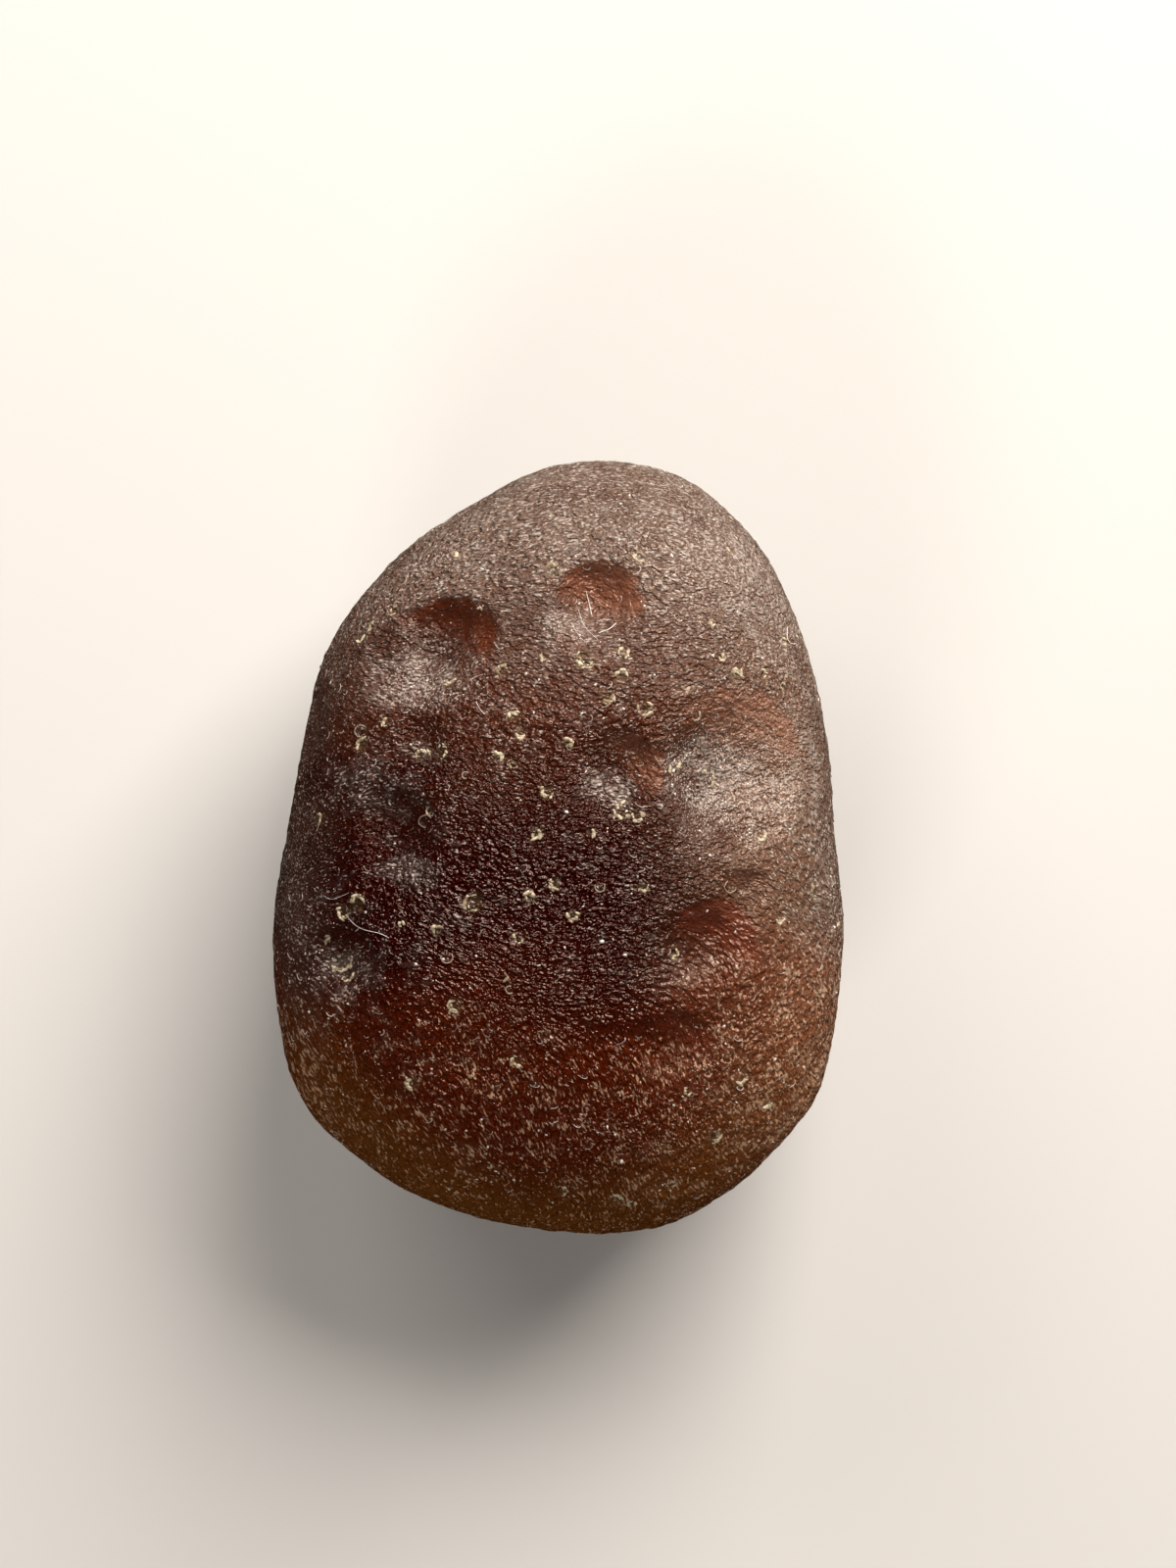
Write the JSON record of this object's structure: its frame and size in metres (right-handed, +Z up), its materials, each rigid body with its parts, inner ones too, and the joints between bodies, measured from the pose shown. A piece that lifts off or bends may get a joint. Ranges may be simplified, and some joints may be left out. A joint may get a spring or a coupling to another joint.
{
  "type": "tektite",
  "caption": "Natural dark brown glass pebble, worn to an egg shape, with shallow thumbprint dimples and a small flat spot that it rests on.",
  "frame": {"origin": "on the surface that the pebble rests on, under the middle of its bounding box", "axes": "+Y along its length, towards the narrower end; +Z up, out of the dimpled crown; +X across its width"},
  "size_m": [0.0184, 0.025, 0.0129],
  "materials": {
    "smoky_glass": "frosted, pitted, dark red-brown natural glass"
  },
  "bodies": {
    "root": {"tektite": "smoky_glass"}
  },
  "joints": []
}
